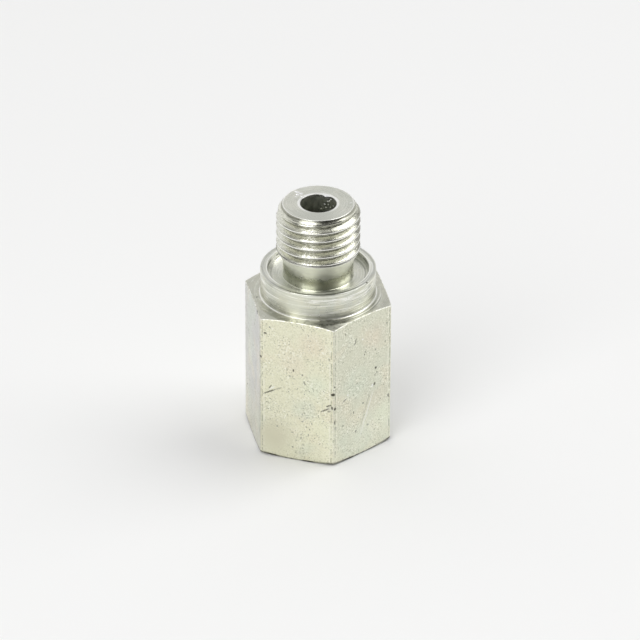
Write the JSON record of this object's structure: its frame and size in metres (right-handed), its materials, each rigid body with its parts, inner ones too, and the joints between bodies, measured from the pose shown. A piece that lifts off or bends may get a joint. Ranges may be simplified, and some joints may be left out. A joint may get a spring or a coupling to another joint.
{
  "type": "straight hydraulic adapter",
  "caption": "Straight hydraulic adapter: hexagonal steel body with a threaded male stud above a recessed sealing collar and a threaded female port in the other end.",
  "frame": {"origin": "on the axis of the flow passage, in the end face of the female port, on which the adapter stands", "axes": "+Z along the flow passage from the female port to the male stud; two corners of the hexagon lie on the X axis and two flats face along Y"},
  "size_m": [0.0252, 0.022, 0.0428],
  "materials": {
    "zinc_plated_steel": "zinc plating with a pale passivation, satin, over turned and drawn steel"
  },
  "bodies": {
    "root": {"adapter_body": "zinc_plated_steel"}
  },
  "joints": []
}
